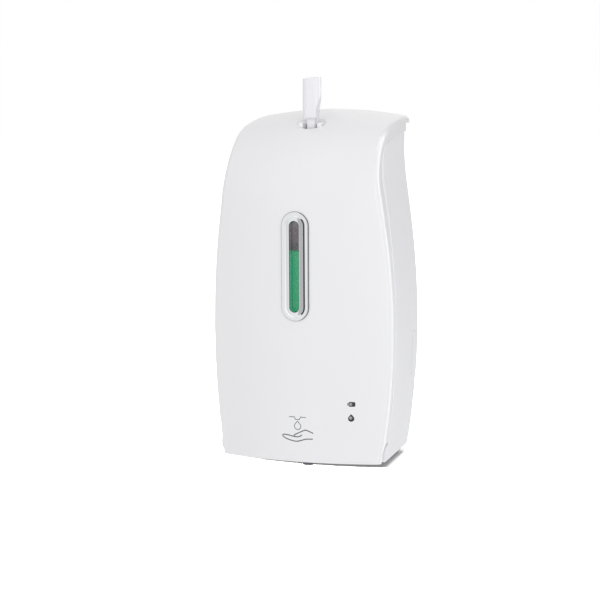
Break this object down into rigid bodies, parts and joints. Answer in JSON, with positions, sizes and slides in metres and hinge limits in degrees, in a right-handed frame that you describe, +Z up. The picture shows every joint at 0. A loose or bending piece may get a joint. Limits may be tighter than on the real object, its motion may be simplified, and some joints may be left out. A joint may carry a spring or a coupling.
{
  "type": "wall mounted soap dispenser",
  "caption": "Automatic wall soap dispenser: crowned white cover on a lower hinge, tall level window, top lock with key, tank, roller pump, sensor and battery box on a wall housing.",
  "frame": {"origin": "centre of the four wall screws, on the wall plane at the back of the housing", "axes": "+Z up, +Y into the wall, +X to the right of someone facing the dispenser"},
  "size_m": [0.136, 0.0983, 0.28],
  "materials": {
    "white_gloss": "smooth gloss",
    "white_satin": "satin",
    "bezel_chrome": "polished",
    "clear_window": "polished clear",
    "smoked_lens": "polished smoked",
    "steel": "plain",
    "latch_plastic": "satin",
    "frame_plastic": "moulded satin",
    "tank_plastic": "translucent",
    "soap": "liquid",
    "lid_plastic": "satin",
    "coupler_plastic": "satin",
    "black_rubber": "soft",
    "silicone": "translucent",
    "pump_plastic": "moulded satin",
    "acetal": "smooth",
    "brass": "machined",
    "motor_steel": "plated",
    "board_green": "solder mask",
    "black_parts": "moulded",
    "lamp": "clear tinted",
    "infrared_window": "polished dark",
    "cell_jacket": "printed film"
  },
  "bodies": {
    "housing": {"battery_box": "pump_plastic", "battery_cells": "cell_jacket", "battery_contacts": "steel", "battery_door": "pump_plastic", "battery_screws": "steel", "board_chips": "black_parts", "board_screws": "steel", "control_board": "board_green", "frame_screws": "steel", "gear_cover": "pump_plastic", "indicator_lights": "lamp", "mechanism_frame": "frame_plastic", "motor_can": "motor_steel", "motor_cap": "pump_plastic", "motor_screws": "steel", "nozzle": "black_rubber", "outlet_seal": "black_rubber", "pump_cover": "pump_plastic", "pump_housing": "pump_plastic", "pump_screws": "steel", "pump_tube": "silicone", "rear_housing": "white_satin", "reduction_shaft": "steel", "sensor_board": "board_green", "sensor_eyes": "infrared_window", "sensor_lens": "infrared_window", "soap_fill": "soap", "soap_tank": "tank_plastic", "switch_frame": "steel", "tank_coupler": "coupler_plastic", "tank_lid": "lid_plastic"},
    "cover": {"front_cover": "white_gloss", "window_bezel": "bezel_chrome", "window_lens": "clear_window", "indicator_lenses": "smoked_lens", "hinge_pins": "steel", "latch_keeper": "latch_plastic", "keeper_screws": "steel", "latch_spring": "steel"},
    "latch": {"cover_latch": "latch_plastic"},
    "key": {"release_key": "white_gloss"},
    "rotor": {"pump_rotor": "acetal", "roller_pins": "steel", "rotor_shaft": "steel", "rotor_gear": "acetal"},
    "roller_1": {"pump_roller_1": "acetal"},
    "roller_2": {"pump_roller_2": "acetal"},
    "roller_3": {"pump_roller_3": "acetal"},
    "reduction": {"reduction_gear": "acetal"},
    "motor_rotor": {"motor_gear": "brass", "motor_shaft": "steel"},
    "switch": {"switch_slider": "black_parts"}
  },
  "joints": [
    {"name": "cover_hinge", "type": "hinge", "parent": "housing", "child": "cover", "pos_m": [0, -0.0735, -0.1322], "axis": [1, 0, 0], "range_deg": [0, 85]},
    {"name": "latch_slide", "type": "slide", "parent": "cover", "child": "latch", "axis": [0, 0, 1], "range_m": [0, 0.0035], "stiffness_N_per_m": 400, "springref_m": 0.006, "deforming": ["latch_spring"]},
    {"name": "key_lift", "type": "slide", "parent": "latch", "child": "key", "axis": [0, 0, 1], "range_m": [0, 0.04]},
    {"name": "rotor_spin", "type": "hinge", "parent": "housing", "child": "rotor", "pos_m": [-0.01, -0.06, -0.102], "axis": [0, 1, 0], "continuous": true},
    {"name": "reduction_spin", "type": "hinge", "parent": "housing", "child": "reduction", "pos_m": [0.01009, -0.055, -0.10738], "axis": [0, 1, 0], "continuous": true},
    {"name": "motor_spin", "type": "hinge", "parent": "housing", "child": "motor_rotor", "pos_m": [0.01659, -0.05, -0.09613], "axis": [0, 1, 0], "continuous": true},
    {"name": "roller_1_spin", "type": "hinge", "parent": "rotor", "child": "roller_1", "pos_m": [-0.01, -0.068, -0.0926], "axis": [0, 1, 0], "continuous": true},
    {"name": "roller_2_spin", "type": "hinge", "parent": "rotor", "child": "roller_2", "pos_m": [-0.01814, -0.068, -0.1067], "axis": [0, 1, 0], "continuous": true},
    {"name": "roller_3_spin", "type": "hinge", "parent": "rotor", "child": "roller_3", "pos_m": [-0.00186, -0.068, -0.1067], "axis": [0, 1, 0], "continuous": true},
    {"name": "switch_slide", "type": "slide", "parent": "housing", "child": "switch", "axis": [1, 0, 0], "range_m": [0, 0.0025]}
  ],
  "couplings": [
    {"joint": "reduction_spin", "follows": "rotor_spin", "ratio": -3.3333},
    {"joint": "motor_spin", "follows": "rotor_spin", "ratio": 11.111},
    {"joint": "roller_1_spin", "follows": "rotor_spin", "ratio": -3.5526},
    {"joint": "roller_2_spin", "follows": "rotor_spin", "ratio": -3.5526},
    {"joint": "roller_3_spin", "follows": "rotor_spin", "ratio": -3.5526}
  ]
}
